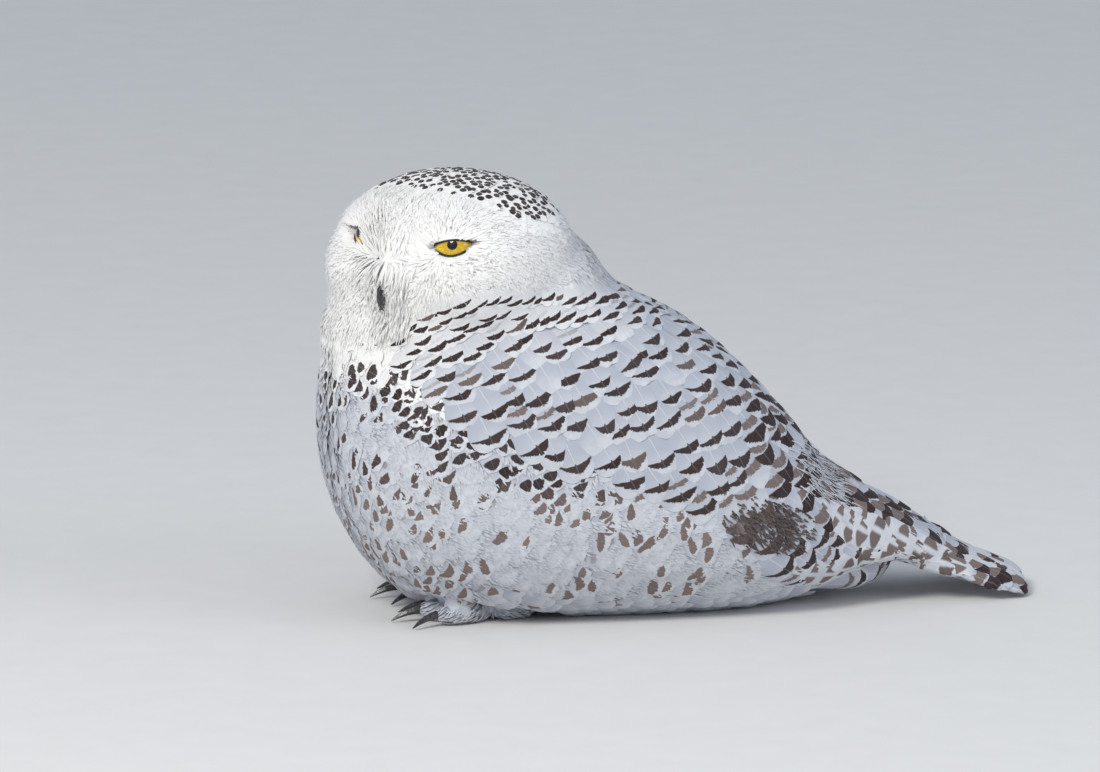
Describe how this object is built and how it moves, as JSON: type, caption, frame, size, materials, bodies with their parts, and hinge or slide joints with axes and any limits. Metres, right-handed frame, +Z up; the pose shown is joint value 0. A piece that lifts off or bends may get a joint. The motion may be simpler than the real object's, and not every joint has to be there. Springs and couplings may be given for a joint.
{
  "type": "snowy owl",
  "caption": "Life-size still snowy owl at rest on its belly, wings folded over a rounded body, short tail laid on the floor, large round head turned to its left.",
  "frame": {"origin": "on the floor, under the middle of the bird's length and width", "axes": "+Z up, the tail points to +X and the breast to -X, the bird's left side is towards -Y"},
  "size_m": [0.486, 0.228, 0.3039],
  "materials": {
    "face_plumage": "soft short feathers, warm white",
    "white_plumage": "soft feathers, white",
    "barred_plumage": "overlapping feathers, white with dark brown bars",
    "eye": "wet and clear, yellow iris",
    "horn": "black horn, satin"
  },
  "bodies": {
    "root": {"head": "face_plumage", "neck": "white_plumage", "trunk": "barred_plumage", "wing_left": "barred_plumage", "wing_right": "barred_plumage", "tail": "barred_plumage", "leg_left": "white_plumage", "leg_right": "white_plumage", "eye_left": "eye", "eye_right": "eye", "bill_upper": "horn", "bill_lower": "horn", "claw_left_1": "horn", "claw_left_2": "horn", "claw_left_3": "horn", "claw_left_4": "horn", "claw_right_1": "horn", "claw_right_2": "horn", "claw_right_3": "horn", "claw_right_4": "horn"}
  },
  "joints": []
}
